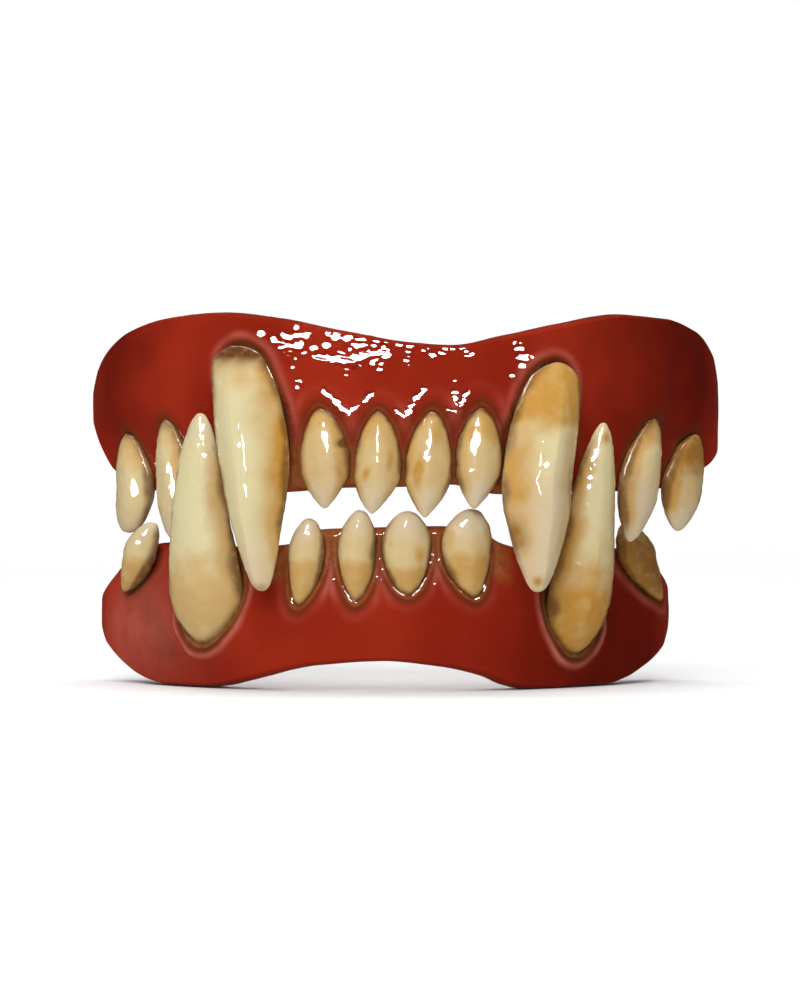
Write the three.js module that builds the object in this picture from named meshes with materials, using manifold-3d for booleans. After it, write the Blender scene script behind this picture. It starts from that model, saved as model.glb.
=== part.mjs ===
// False werewolf teeth for a wearer's mouth: an upper and a lower gum veneer, each a bent wall that
// hides the wearer's own teeth, with separate pointed teeth seated in its sockets. The two rows stand
// in closed bite on the rim of the lower gum.
//
// Millimetres. X runs to the viewer's right, Y to the back of the mouth and Z up from the surface that
// the lower rim stands on. "left" and "right" in the names are the viewer's.
import * as THREE from "three";
import { mergeVertices } from "three/addons/utils/BufferGeometryUtils.js";
import Module from "manifold-3d";

const wasm = await Module();
wasm.setup();

// Clearance round a tooth in its socket
const SOCKET_GAP = 0.3;

// Plan of each gum's face: a parabola through front, "depth" further back at halfWidth from its middle
const UPPER_ARCH = { middle: 0, front: 0, halfWidth: 31, depth: 22 };
const LOWER_ARCH = { middle: -1.5, front: 0.9, halfWidth: 28.6, depth: 20 };

// The gum wall is a bent box of this many stations along the arch, crowded a little towards its ends
const STATIONS = 58;
const END_CROWDING = 0.2;

// Towards its ends the wall's face comes level over END_LEVEL, and the wall thins over END_ROUNDING
const END_LEVEL = 3.2;
const END_FACE = 0;
const END_ROUNDING = 1.6;
const END_THICKNESS = 0.4;

// Wall section from its tooth edge (height 0) to its rim (height 1): offsets out of the plan curve
const WALL = [
  { height: 0.0, face: -0.8, back: -2.7 },
  { height: 0.08, face: -0.5, back: -3.1 },
  { height: 0.2, face: -0.35, back: -3.3 },
  { height: 0.33, face: -0.15, back: -3.3 },
  { height: 0.48, face: 0.15, back: -3.3 },
  { height: 0.64, face: 0.35, back: -3.2 },
  { height: 0.79, face: 0.3, back: -3.1 },
  { height: 0.91, face: -0.05, back: -2.9 },
  { height: 1.0, face: -0.8, back: -2.3 },
];
const WALL_MIDDLE = -1.6;

// Behind, the wall grows thicker by this much towards its ends
const END_GROWTH = 1.5;

// Bulge of the gum over each root, and the rolled lip round each tooth
const ROOT_BULGE = 0.11;
const LIP_HEIGHT = 0.3;
const LIP_DISTANCE = 0.9;
const LIP_SPREAD = 1.0;

// Edges of the upper gum along the arch: its rim against the lip, and the tooth edge of its web
const UPPER_EDGES = [
  { x: -31.8, rim: 28.0, web: 26.4 },
  { x: -31.3, rim: 29.2, web: 25.3 },
  { x: -30.3, rim: 31.1, web: 23.0 },
  { x: -29.2, rim: 32.8, web: 20.8 },
  { x: -26.8, rim: 34.8, web: 19.2 },
  { x: -23.2, rim: 35.8, web: 18.8 },
  { x: -18.0, rim: 36.1, web: 18.7 },
  { x: -11.8, rim: 35.3, web: 18.8 },
  { x: -5.6, rim: 34.0, web: 18.4 },
  { x: 1.0, rim: 32.9, web: 18.5 },
  { x: 5.0, rim: 32.7, web: 18.8 },
  { x: 10.0, rim: 33.6, web: 18.6 },
  { x: 16.0, rim: 35.0, web: 18.8 },
  { x: 22.2, rim: 36.1, web: 18.9 },
  { x: 26.4, rim: 36.0, web: 19.1 },
  { x: 29.2, rim: 35.1, web: 19.8 },
  { x: 31.0, rim: 33.2, web: 21.0 },
  { x: 32.3, rim: 30.4, web: 22.3 },
  { x: 32.9, rim: 28.2, web: 24.0 },
];

// Edges of the lower gum: it stands on the level stretches of its rim
const LOWER_EDGES = [
  { x: -30.8, rim: 6.4, web: 8.0 },
  { x: -30.2, rim: 4.9, web: 9.1 },
  { x: -29.2, rim: 3.5, web: 10.4 },
  { x: -27.8, rim: 2.15, web: 12.2 },
  { x: -25.8, rim: 0.8, web: 13.6 },
  { x: -24.2, rim: 0.2, web: 13.9 },
  { x: -22.9, rim: 0.0, web: 13.9 },
  { x: -17.4, rim: 0.0, web: 13.6 },
  { x: -15.8, rim: 0.7, web: 13.6 },
  { x: -13.6, rim: 1.4, web: 13.7 },
  { x: -10.6, rim: 2.0, web: 14.0 },
  { x: -8.0, rim: 2.45, web: 15.3 },
  { x: -1.6, rim: 2.85, web: 15.5 },
  { x: 4.0, rim: 2.3, web: 15.6 },
  { x: 8.3, rim: 1.3, web: 15.0 },
  { x: 10.2, rim: 0.5, web: 14.0 },
  { x: 11.6, rim: 0.0, web: 13.6 },
  { x: 20.4, rim: 0.0, web: 13.5 },
  { x: 21.8, rim: 0.35, web: 13.4 },
  { x: 23.3, rim: 1.1, web: 13.2 },
  { x: 25.6, rim: 2.8, web: 11.8 },
  { x: 26.9, rim: 4.7, web: 10.2 },
  { x: 27.6, rim: 6.6, web: 8.6 },
];

// Tooth forms from the neck (along 0) to the point (along 1), as shares of a tooth's own sizes
const INCISOR = [
  { along: 0.0, width: 0.0, face: 0.0, back: 0.0 },
  { along: 0.024, width: 0.14, face: 0.25, back: 0.45 },
  { along: 0.095, width: 0.36, face: 0.5, back: 0.8 },
  { along: 0.2, width: 0.58, face: 0.76, back: 1.0 },
  { along: 0.35, width: 0.82, face: 0.95, back: 1.0 },
  { along: 0.52, width: 0.98, face: 1.0, back: 0.95 },
  { along: 0.68, width: 0.93, face: 0.92, back: 0.82 },
  { along: 0.81, width: 0.69, face: 0.76, back: 0.62 },
  { along: 0.92, width: 0.43, face: 0.5, back: 0.4 },
  { along: 0.978, width: 0.24, face: 0.26, back: 0.2 },
  { along: 1.0, width: 0.0, face: 0.0, back: 0.0 },
];
const LOWER_INCISOR = [
  { along: 0.0, width: 0.0, face: 0.0, back: 0.0 },
  { along: 0.024, width: 0.2, face: 0.2, back: 0.4 },
  { along: 0.095, width: 0.42, face: 0.42, back: 0.75 },
  { along: 0.2, width: 0.64, face: 0.66, back: 0.95 },
  { along: 0.35, width: 0.84, face: 0.9, back: 1.0 },
  { along: 0.5, width: 0.96, face: 1.0, back: 0.95 },
  { along: 0.65, width: 1.0, face: 0.96, back: 0.85 },
  { along: 0.79, width: 0.88, face: 0.82, back: 0.7 },
  { along: 0.905, width: 0.61, face: 0.6, back: 0.5 },
  { along: 0.976, width: 0.34, face: 0.34, back: 0.28 },
  { along: 1.0, width: 0.0, face: 0.0, back: 0.0 },
];
const LEFT_FANG = [
  { along: 0.0, width: 0.0, face: 0.0, back: 0.0 },
  { along: 0.017, width: 0.42, face: 0.2, back: 0.4 },
  { along: 0.067, width: 0.78, face: 0.42, back: 0.75 },
  { along: 0.15, width: 0.88, face: 0.68, back: 1.0 },
  { along: 0.25, width: 0.95, face: 0.9, back: 1.0 },
  { along: 0.37, width: 1.0, face: 1.0, back: 1.0 },
  { along: 0.5, width: 0.96, face: 1.0, back: 0.95 },
  { along: 0.63, width: 0.83, face: 0.9, back: 0.85 },
  { along: 0.75, width: 0.66, face: 0.74, back: 0.7 },
  { along: 0.85, width: 0.51, face: 0.56, back: 0.54 },
  { along: 0.933, width: 0.36, face: 0.4, back: 0.38 },
  { along: 0.983, width: 0.22, face: 0.22, back: 0.2 },
  { along: 1.0, width: 0.0, face: 0.0, back: 0.0 },
];
const RIGHT_FANG = [
  { along: 0.0, width: 0.0, face: 0.0, back: 0.0 },
  { along: 0.017, width: 0.36, face: 0.2, back: 0.4 },
  { along: 0.067, width: 0.7, face: 0.42, back: 0.75 },
  { along: 0.15, width: 0.87, face: 0.68, back: 1.0 },
  { along: 0.25, width: 0.96, face: 0.9, back: 1.0 },
  { along: 0.37, width: 1.0, face: 1.0, back: 1.0 },
  { along: 0.5, width: 1.0, face: 1.0, back: 0.95 },
  { along: 0.61, width: 0.96, face: 0.92, back: 0.87 },
  { along: 0.73, width: 0.79, face: 0.77, back: 0.72 },
  { along: 0.85, width: 0.6, face: 0.56, back: 0.54 },
  { along: 0.933, width: 0.39, face: 0.4, back: 0.38 },
  { along: 0.983, width: 0.22, face: 0.22, back: 0.2 },
  { along: 1.0, width: 0.0, face: 0.0, back: 0.0 },
];
const LOWER_FANG = [
  { along: 0.0, width: 0.0, face: 0.0, back: 0.0 },
  { along: 0.017, width: 0.36, face: 0.27, back: 0.4 },
  { along: 0.067, width: 0.66, face: 0.52, back: 0.75 },
  { along: 0.15, width: 0.91, face: 0.8, back: 1.0 },
  { along: 0.25, width: 1.0, face: 1.0, back: 1.0 },
  { along: 0.37, width: 0.94, face: 1.0, back: 0.95 },
  { along: 0.5, width: 0.83, face: 0.9, back: 0.85 },
  { along: 0.63, width: 0.73, face: 0.77, back: 0.72 },
  { along: 0.75, width: 0.62, face: 0.62, back: 0.6 },
  { along: 0.85, width: 0.48, face: 0.48, back: 0.46 },
  { along: 0.933, width: 0.32, face: 0.34, back: 0.32 },
  { along: 0.983, width: 0.16, face: 0.18, back: 0.17 },
  { along: 1.0, width: 0.0, face: 0.0, back: 0.0 },
];
const PREMOLAR = [
  { along: 0.0, width: 0.0, face: 0.0, back: 0.0 },
  { along: 0.024, width: 0.24, face: 0.2, back: 0.45 },
  { along: 0.095, width: 0.48, face: 0.48, back: 0.8 },
  { along: 0.2, width: 0.7, face: 0.76, back: 1.0 },
  { along: 0.35, width: 0.89, face: 0.97, back: 1.0 },
  { along: 0.5, width: 1.0, face: 1.0, back: 0.95 },
  { along: 0.65, width: 0.97, face: 0.93, back: 0.85 },
  { along: 0.79, width: 0.78, face: 0.77, back: 0.66 },
  { along: 0.905, width: 0.5, face: 0.52, back: 0.44 },
  { along: 0.976, width: 0.25, face: 0.26, back: 0.22 },
  { along: 1.0, width: 0.0, face: 0.0, back: 0.0 },
];

// Sizes that teeth of a kind share. "square" is how far a tooth turns with the arch, from 0 to 1.
const SMALL = { sides: 12, rings: 10, square: 1 };
const LARGE = { sides: 14, rings: 12, square: 0.6 };

// A tooth's middle line bends to each end from here
const STRAIGHT_AT = 0.55;
const BEND = 1.3;

// Teeth from left to right. x is the middle on the plan curve, neck and tip are heights, face and back
// are depths before and behind the tooth's own middle, which stands "seat" out of the plan curve at the
// neck and "flare" further out at the point. neckShift and tipShift move the ends along the arch.
const UPPER_TEETH = [
  { name: "upper_premolar_left_2", form: PREMOLAR, kind: SMALL, x: -26.2, neck: 24.6, tip: 14.8,
    width: 5.2, face: 1.4, back: 1.7, seat: 0, flare: 0, neckShift: -1.3, tipShift: -1.0 },
  { name: "upper_premolar_left_1", form: PREMOLAR, kind: SMALL, x: -21.9, neck: 25.9, tip: 14.3,
    width: 4.8, face: 1.4, back: 1.7, seat: 0, flare: 0, neckShift: -1.4, tipShift: -0.4 },
  { name: "upper_fang_left", form: LEFT_FANG, kind: LARGE, x: -13.2, neck: 32.7, tip: 9.5,
    width: 7.3, face: 2.5, back: 1.9, seat: 0.3, flare: 2.6, neckShift: -2.4, tipShift: 1.1 },
  { name: "upper_incisor_1", form: INCISOR, kind: SMALL, x: -7.2, neck: 27.2, tip: 17.25,
    width: 4.75, face: 1.6, back: 1.7, seat: -0.2, flare: 0.2, neckShift: -0.3, tipShift: 0 },
  { name: "upper_incisor_2", form: INCISOR, kind: SMALL, x: -2.15, neck: 26.7, tip: 16.75,
    width: 4.3, face: 1.6, back: 1.7, seat: -0.2, flare: 0.2, neckShift: 0.05, tipShift: -0.6 },
  { name: "upper_incisor_3", form: INCISOR, kind: SMALL, x: 2.6, neck: 26.8, tip: 16.4,
    width: 4.3, face: 1.6, back: 1.7, seat: -0.2, flare: 0.2, neckShift: 0.35, tipShift: -0.4 },
  { name: "upper_incisor_4", form: INCISOR, kind: SMALL, x: 7.4, neck: 27.5, tip: 17.25,
    width: 4.45, face: 1.6, back: 1.7, seat: -0.2, flare: 0.2, neckShift: 0, tipShift: -0.6 },
  { name: "upper_fang_right", form: RIGHT_FANG, kind: LARGE, x: 12.3, neck: 31.1, tip: 9.4,
    width: 7.0, face: 2.5, back: 1.9, seat: 0.35, flare: 2.4, neckShift: 2.6, tipShift: -0.3 },
  { name: "upper_premolar_right_1", form: PREMOLAR, kind: SMALL, x: 23.2, neck: 26.1, tip: 14.0,
    width: 5.4, face: 1.4, back: 1.7, seat: 0, flare: 0, neckShift: 2.3, tipShift: -1.3 },
  { name: "upper_premolar_right_2", form: PREMOLAR, kind: SMALL, x: 27.9, neck: 24.6, tip: 15.0,
    width: 6.2, face: 1.4, back: 1.7, seat: 0, flare: 0, neckShift: 2.4, tipShift: -0.8 },
];
const LOWER_TEETH = [
  { name: "lower_premolar_left", form: LOWER_INCISOR, kind: SMALL, x: -25.1, neck: 9.0, tip: 15.9,
    width: 4.4, face: 1.3, back: 1.6, seat: 0.4, flare: 0.6, neckShift: -2.8, tipShift: 2.4 },
  { name: "lower_fang_left", form: LOWER_FANG, kind: LARGE, x: -18.5, neck: 4.0, tip: 26.3,
    width: 7.8, face: 2.4, back: 1.9, seat: -0.1, flare: 3.3, neckShift: 0.2, tipShift: 0.8 },
  { name: "lower_incisor_1", form: LOWER_INCISOR, kind: SMALL, x: -9.0, neck: 7.7, tip: 16.3,
    width: 3.55, face: 1.6, back: 1.6, seat: -0.2, flare: 0, neckShift: -0.6, tipShift: 0.3 },
  { name: "lower_incisor_2", form: LOWER_INCISOR, kind: SMALL, x: -4.2, neck: 8.1, tip: 17.1,
    width: 3.6, face: 1.6, back: 1.6, seat: -0.2, flare: 0, neckShift: 0, tipShift: 0.3 },
  { name: "lower_incisor_3", form: LOWER_INCISOR, kind: SMALL, x: 0.5, neck: 8.8, tip: 17.0,
    width: 4.6, face: 1.6, back: 1.6, seat: -0.2, flare: 0, neckShift: 0.15, tipShift: 0.1 },
  { name: "lower_incisor_4", form: LOWER_INCISOR, kind: SMALL, x: 6.2, neck: 8.6, tip: 17.2,
    width: 5.0, face: 1.6, back: 1.6, seat: -0.2, flare: 0, neckShift: 0.6, tipShift: 0.5 },
  { name: "lower_fang_right", form: LOWER_FANG, kind: LARGE, x: 17.0, neck: 3.2, tip: 25.4,
    width: 6.8, face: 2.4, back: 1.9, seat: 0.3, flare: 3.9, neckShift: -0.9, tipShift: 0.6 },
  { name: "lower_premolar_right", form: LOWER_INCISOR, kind: SMALL, x: 23.4, neck: 8.0, tip: 15.8,
    width: 5.6, face: 1.3, back: 1.6, seat: 0, flare: 0, neckShift: 3.8, tipShift: -1.9 },
];

const GUM_COLOUR = 0x9c2a1e;
const GUM_ROUGHNESS = 0.2;
const TOOTH_COLOUR = 0xd9c48c;
const TOOTH_ROUGHNESS = 0.3;

// A smooth curve through one column of a table, which never passes beyond the rows on either side
function curveThrough(rows, place, column) {
  const places = rows.map((row) => row[place]);
  const values = rows.map((row) => row[column]);
  const steps = places.slice(1).map((at, i) => (values[i + 1] - values[i]) / (at - places[i]));
  const slopes = places.map((at, i) => {
    const before = steps[Math.max(0, i - 1)];
    const after = steps[Math.min(steps.length - 1, i)];
    return before * after > 0 ? (2 * before * after) / (before + after) : 0;
  });
  return (at) => {
    const inside = THREE.MathUtils.clamp(at, places[0], places[places.length - 1]);
    const k = Math.max(0, Math.min(places.length - 2, places.findLastIndex((p) => p <= inside)));
    const span = places[k + 1] - places[k];
    const t = (inside - places[k]) / span;
    const start = values[k] * (1 + 2 * t) + slopes[k] * span * t;
    const end = values[k + 1] * (3 - 2 * t) - slopes[k + 1] * span * (1 - t);
    return start * (1 - t) * (1 - t) + end * t * t;
  };
}

// Foot on the plan curve, with the way along the arch and the way out of it
function archAt(arch, x, square) {
  const across = (x - arch.middle) / arch.halfWidth;
  const foot = new THREE.Vector3(x, arch.front + arch.depth * across * across, 0);
  const turn = square * Math.atan((2 * arch.depth * across) / arch.halfWidth);
  const along = new THREE.Vector3(Math.cos(turn), Math.sin(turn), 0);
  const out = new THREE.Vector3(Math.sin(turn), -Math.cos(turn), 0);
  return { foot, along, out };
}

// Sideways place of a tooth's middle line at a share of its length
function middleShift(tooth, along) {
  const towardsNeck = Math.max(0, 1 - along / STRAIGHT_AT);
  const towardsTip = Math.max(0, (along - STRAIGHT_AT) / (1 - STRAIGHT_AT));
  return tooth.neckShift * towardsNeck ** BEND + tooth.tipShift * towardsTip ** BEND;
}

// A closed tooth: a ball drawn out along its own table of sections, grown all round by "grow", and by more
// along the arch where it leans
function toothGeometry(arch, tooth, grow) {
  const width = curveThrough(tooth.form, "along", "width");
  const face = curveThrough(tooth.form, "along", "face");
  const back = curveThrough(tooth.form, "along", "back");
  const place = archAt(arch, tooth.x, tooth.kind.square);
  const upwards = Math.sign(tooth.tip - tooth.neck);
  const lean = BEND * (tooth.tipShift - tooth.neckShift) / (tooth.tip - tooth.neck);
  const growAlong = grow * Math.hypot(1, lean);
  const ball = new THREE.SphereGeometry(1, tooth.kind.sides, tooth.kind.rings);
  const points = ball.getAttribute("position");
  const point = new THREE.Vector3();
  for (let i = 0; i < points.count; i += 1) {
    point.fromBufferAttribute(points, i);
    const along = 0.5 + 0.5 * upwards * point.y;
    const ring = Math.hypot(point.x, point.z);
    const atEnd = ring < 1e-6;
    const sideways = atEnd ? 0 : point.x / ring;
    const outwards = atEnd ? 0 : point.z / ring;
    const halfWidth = 0.5 * tooth.width * width(along) + growAlong * Math.sqrt(ring);
    const reach = outwards > 0 ? tooth.face * face(along) : tooth.back * back(along);
    const depth = reach + grow * Math.sqrt(ring);
    const q = middleShift(tooth, along) + halfWidth * sideways;
    const n = tooth.seat + tooth.flare * along + depth * outwards;
    const height = THREE.MathUtils.lerp(tooth.neck, tooth.tip, along) + grow * point.y;
    point.copy(place.foot).addScaledVector(place.along, q).addScaledVector(place.out, n);
    points.setXYZ(i, point.x, point.y, height);
  }
  return ball;
}

// How far a point of the gum's face lies outside a tooth's outline, along the face
function outsideTooth(arch, tooth, width, x, height) {
  const place = archAt(arch, tooth.x, 1);
  const along = (height - tooth.neck) / (tooth.tip - tooth.neck);
  const clamped = THREE.MathUtils.clamp(along, 0, 1);
  const sideways = Math.abs((x - tooth.x) / place.along.x - middleShift(tooth, clamped));
  const beside = Math.max(0, sideways - 0.5 * tooth.width * width(clamped));
  const beyond = Math.max(0, -along) * Math.abs(tooth.tip - tooth.neck);
  return Math.hypot(beside, beyond);
}

// Turns the diagonal of every quad right of the middle, so that both sides of a wall fold alike
function mirrorDiagonals(box) {
  const points = box.getAttribute("position");
  const index = box.getIndex();
  for (let i = 0; i < index.count; i += 6) {
    const corners = [0, 1, 4, 2].map((k) => index.getX(i + k));
    const across = corners.reduce((sum, corner) => sum + points.getX(corner), 0);
    if (across > 0) {
      [0, 1, 2, 0, 2, 3].forEach((k, at) => index.setX(i + at, corners[k]));
    }
  }
}

// The gum wall before its sockets: a box bent along the arch, between the rim and the web
function gumGeometry(arch, edges, teeth, rimUp) {
  const rim = curveThrough(edges, "x", "rim");
  const web = curveThrough(edges, "x", "web");
  const first = edges[0].x;
  const last = edges[edges.length - 1].x;
  const widths = teeth.map((tooth) => curveThrough(tooth.form, "along", "width"));
  const box = new THREE.BoxGeometry(2, WALL.length - 1, 2, STATIONS, WALL.length - 1, 1);
  mirrorDiagonals(box);
  const points = box.getAttribute("position");
  for (let i = 0; i < points.count; i += 1) {
    const s = points.getX(i);
    const crowded = s * (1 + END_CROWDING) - END_CROWDING * s * s * s;
    const x = THREE.MathUtils.mapLinear(crowded, -1, 1, first, last);
    const level = Math.round(points.getY(i) + 0.5 * (WALL.length - 1));
    const row = WALL[rimUp ? level : WALL.length - 1 - level];
    const height = THREE.MathUtils.lerp(web(x), rim(x), row.height);
    const onFace = points.getZ(i) > 0;
    const toEnd = Math.min(x - first, last - x);
    const across = Math.abs(x - arch.middle) / arch.halfWidth;
    let offset = row.back - END_GROWTH * across ** 3;
    if (onFace) {
      offset = THREE.MathUtils.lerp(END_FACE, row.face, THREE.MathUtils.smoothstep(toEnd, 0, END_LEVEL));
      teeth.forEach((tooth, k) => {
        const away = (x - tooth.x) / (0.6 * tooth.width);
        const swell = Math.sin(Math.PI * row.height) ** 2;
        offset += ROOT_BULGE * tooth.width * Math.exp(-away * away) * swell;
        const outside = outsideTooth(arch, tooth, widths[k], x, height);
        const fromLip = (outside - LIP_DISTANCE) / LIP_SPREAD;
        offset += LIP_HEIGHT * Math.exp(-fromLip * fromLip) * swell;
      });
    }
    const rounded = Math.sqrt(THREE.MathUtils.clamp(toEnd / END_ROUNDING, 0, 1));
    const thin = THREE.MathUtils.lerp(END_THICKNESS, 1, rounded);
    offset = THREE.MathUtils.lerp(WALL_MIDDLE, offset, thin);
    const place = archAt(arch, x, 1);
    place.foot.addScaledVector(place.out, offset);
    points.setXYZ(i, place.foot.x, place.foot.y, height);
  }
  return box;
}

// Closed geometry to a solid and back, for the cuts
function toSolid(geometry) {
  const bare = geometry.clone();
  bare.deleteAttribute("normal");
  bare.deleteAttribute("uv");
  const closed = mergeVertices(bare, 1e-4);
  const vertProperties = new Float32Array(closed.getAttribute("position").array);
  const triVerts = new Uint32Array(closed.getIndex().array);
  return new wasm.Manifold(new wasm.Mesh({ numProp: 3, vertProperties, triVerts }));
}

function toGeometry(solid) {
  const mesh = solid.getMesh();
  const geometry = new THREE.BufferGeometry();
  geometry.setAttribute("position", new THREE.BufferAttribute(mesh.vertProperties, 3));
  geometry.setIndex(new THREE.BufferAttribute(mesh.triVerts, 1));
  geometry.computeVertexNormals();
  return geometry;
}

function addMesh(parent, name, solid, color, roughness) {
  const material = new THREE.MeshStandardMaterial({ color, roughness, metalness: 0 });
  const mesh = new THREE.Mesh(toGeometry(solid), material);
  mesh.name = name;
  parent.add(mesh);
}

// One row: the gum wall with its sockets cut, and the teeth that sit in them
function addRow(parent, gumName, arch, edges, teeth, rimUp) {
  let gum = toSolid(gumGeometry(arch, edges, teeth, rimUp));
  for (const tooth of teeth) {
    gum = gum.subtract(toSolid(toothGeometry(arch, tooth, SOCKET_GAP)));
    addMesh(parent, tooth.name, toSolid(toothGeometry(arch, tooth, 0)), TOOTH_COLOUR, TOOTH_ROUGHNESS);
  }
  addMesh(parent, gumName, gum, GUM_COLOUR, GUM_ROUGHNESS);
}

const veneer = new THREE.Group();
addRow(veneer, "upper_gum", UPPER_ARCH, UPPER_EDGES, UPPER_TEETH, true);
addRow(veneer, "lower_gum", LOWER_ARCH, LOWER_EDGES, LOWER_TEETH, false);

// The origin is the middle of the outline, on the surface that the lower rim stands on
const outline = new THREE.Box3().setFromObject(veneer);
const middle = outline.getCenter(new THREE.Vector3());
veneer.position.set(-middle.x, -middle.y, -outline.min.z);

export default veneer;
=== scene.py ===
"""Looks of the werewolf fang veneer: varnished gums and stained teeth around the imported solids.

Sizes are in millimetres and repeat the part's own tables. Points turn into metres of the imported
frame when a mesh is made. "left" and "right" are the viewer's.
"""

import math
from collections import namedtuple

import bpy
import numpy as np
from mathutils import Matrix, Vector, noise
from mathutils.bvhtree import BVHTree


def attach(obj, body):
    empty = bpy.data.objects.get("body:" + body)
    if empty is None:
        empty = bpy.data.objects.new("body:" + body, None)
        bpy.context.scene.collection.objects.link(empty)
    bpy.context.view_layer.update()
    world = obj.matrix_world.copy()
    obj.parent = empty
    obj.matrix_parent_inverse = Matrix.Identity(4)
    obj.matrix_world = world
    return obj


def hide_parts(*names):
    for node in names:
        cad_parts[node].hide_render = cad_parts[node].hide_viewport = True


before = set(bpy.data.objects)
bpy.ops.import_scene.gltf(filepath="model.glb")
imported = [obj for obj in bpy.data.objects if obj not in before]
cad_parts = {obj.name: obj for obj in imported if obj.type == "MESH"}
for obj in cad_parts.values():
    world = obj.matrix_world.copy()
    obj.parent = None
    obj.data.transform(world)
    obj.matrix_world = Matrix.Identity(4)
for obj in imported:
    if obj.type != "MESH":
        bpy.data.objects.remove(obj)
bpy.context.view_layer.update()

MM = 0.001
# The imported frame's origin in the tables' millimetres
ORIGIN = np.array([0.561, 12.526, 0.0])


def columns(names, *rows):
    """A short table as named columns."""
    return dict(zip(names.split(), np.array(rows, float).T))


# Plan of each gum's face: a parabola through front, "depth" further back at half_width from its middle
Arch = namedtuple("Arch", "middle front half_width depth")
UPPER_ARCH = Arch(0, 0, 31, 22)
LOWER_ARCH = Arch(-1.5, 0.9, 28.6, 20)

# Wall section from its tooth edge (height 0) to its rim (height 1): offsets out of the plan curve
WALL = columns(
    "height face back",
    (0.00, -0.80, -2.7),
    (0.08, -0.50, -3.1),
    (0.20, -0.35, -3.3),
    (0.33, -0.15, -3.3),
    (0.48, 0.15, -3.3),
    (0.64, 0.35, -3.2),
    (0.79, 0.40, -3.1),
    (0.91, 0.37, -2.9),
    (1.00, 0.30, -2.3),
)
WALL_MIDDLE = -1.6
# Behind, the wall grows thicker by this much towards its ends
END_GROWTH = 1.5
# Over each root the face swells by this share of the tooth's width, highest where the power puts it
ROOT_BULGE = 0.06
BULGE_SPREAD = 0.6
BULGE_HIGH = 1.5
# Rounding of the rim and of the web, and the most of the wall's height that either takes up
RIM_ROUND = 0.4
WEB_ROUND = 0.55
ROUND_MOST = 0.3

# Towards its ends the wall's face comes level, thins, and closes in a round
END_LEVEL = 3.2
END_ROUNDING = 1.6
END_THICKNESS = 0.4
END_CAP = 0.6

# Points of a gum's mesh: along the arch, closer at its ends, and round its section
STATIONS = 520
FINE_STEPS = 4000
END_DENSITY = 5
FACE_POINTS = 150
BACK_POINTS = 20
ROUND_POINTS = 7
# How soon above the web the face's relief comes to its full height, as a power
FACE_FADE = 0.3

UPPER_EDGES = columns(
    "x rim web",
    (-31.8, 28.0, 26.4),
    (-31.3, 29.2, 25.3),
    (-30.3, 31.1, 23.0),
    (-29.2, 32.8, 20.8),
    (-26.8, 34.8, 19.2),
    (-23.2, 35.8, 18.8),
    (-18.0, 36.1, 18.7),
    (-11.8, 35.3, 18.8),
    (-5.6, 34.0, 19.2),
    (1.0, 32.9, 19.3),
    (5.0, 32.7, 19.5),
    (10.0, 33.6, 18.6),
    (16.0, 35.0, 18.8),
    (22.2, 36.1, 18.9),
    (26.4, 36.0, 19.1),
    (29.2, 35.1, 19.8),
    (31.0, 33.2, 21.0),
    (32.3, 30.4, 22.3),
    (32.9, 28.2, 24.0),
)
LOWER_EDGES = columns(
    "x rim web",
    (-30.8, 6.4, 8.0),
    (-30.2, 4.9, 9.1),
    (-29.2, 3.5, 10.4),
    (-27.8, 2.15, 12.2),
    (-25.8, 0.8, 13.6),
    (-24.2, 0.2, 13.9),
    (-22.9, 0.0, 13.9),
    (-19.0, 0.0, 13.7),
    (-17.4, 0.2, 13.6),
    (-15.4, 0.7, 13.6),
    (-13.2, 1.3, 13.7),
    (-10.6, 2.0, 14.0),
    (-8.0, 2.45, 15.3),
    (-1.6, 2.85, 15.5),
    (4.0, 2.3, 15.6),
    (8.3, 1.3, 15.0),
    (10.2, 0.5, 14.0),
    (12.4, 0.0, 13.5),
    (20.4, 0.0, 13.5),
    (21.8, 0.35, 13.4),
    (23.3, 1.1, 13.2),
    (25.6, 2.8, 11.8),
    (26.9, 4.7, 10.2),
    (27.6, 6.6, 8.6),
)


def tooth_form(*rows):
    """Width, reach of the face and reach of the back, as shares of a tooth's own sizes.

    The rows lie at equal turns of a ball, between a neck and a point where all three are 0.
    """
    return columns("width face back", (0, 0, 0), *rows, (0, 0, 0))


INCISOR = tooth_form(
    (0.18, 0.25, 0.45),
    (0.42, 0.50, 0.80),
    (0.67, 0.76, 1.00),
    (0.88, 0.95, 1.00),
    (1.00, 1.00, 0.95),
    (1.00, 0.92, 0.82),
    (0.77, 0.74, 0.60),
    (0.45, 0.46, 0.36),
    (0.18, 0.20, 0.16),
)
LOWER_INCISOR = tooth_form(
    (0.20, 0.20, 0.40),
    (0.42, 0.42, 0.75),
    (0.64, 0.66, 0.95),
    (0.84, 0.90, 1.00),
    (0.96, 1.00, 0.95),
    (1.00, 0.96, 0.85),
    (0.88, 0.82, 0.70),
    (0.61, 0.60, 0.50),
    (0.34, 0.34, 0.28),
)
LEFT_FANG = tooth_form(
    (0.42, 0.20, 0.40),
    (0.78, 0.42, 0.75),
    (0.88, 0.68, 1.00),
    (0.95, 0.90, 1.00),
    (1.00, 1.00, 1.00),
    (0.96, 1.00, 0.95),
    (0.83, 0.90, 0.85),
    (0.66, 0.74, 0.70),
    (0.51, 0.56, 0.54),
    (0.36, 0.40, 0.38),
    (0.22, 0.22, 0.20),
)
RIGHT_FANG = tooth_form(
    (0.36, 0.20, 0.40),
    (0.70, 0.42, 0.75),
    (0.87, 0.68, 1.00),
    (0.96, 0.90, 1.00),
    (1.00, 1.00, 1.00),
    (1.00, 1.00, 0.95),
    (0.96, 0.92, 0.87),
    (0.79, 0.77, 0.72),
    (0.60, 0.56, 0.54),
    (0.39, 0.40, 0.38),
    (0.22, 0.22, 0.20),
)
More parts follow.
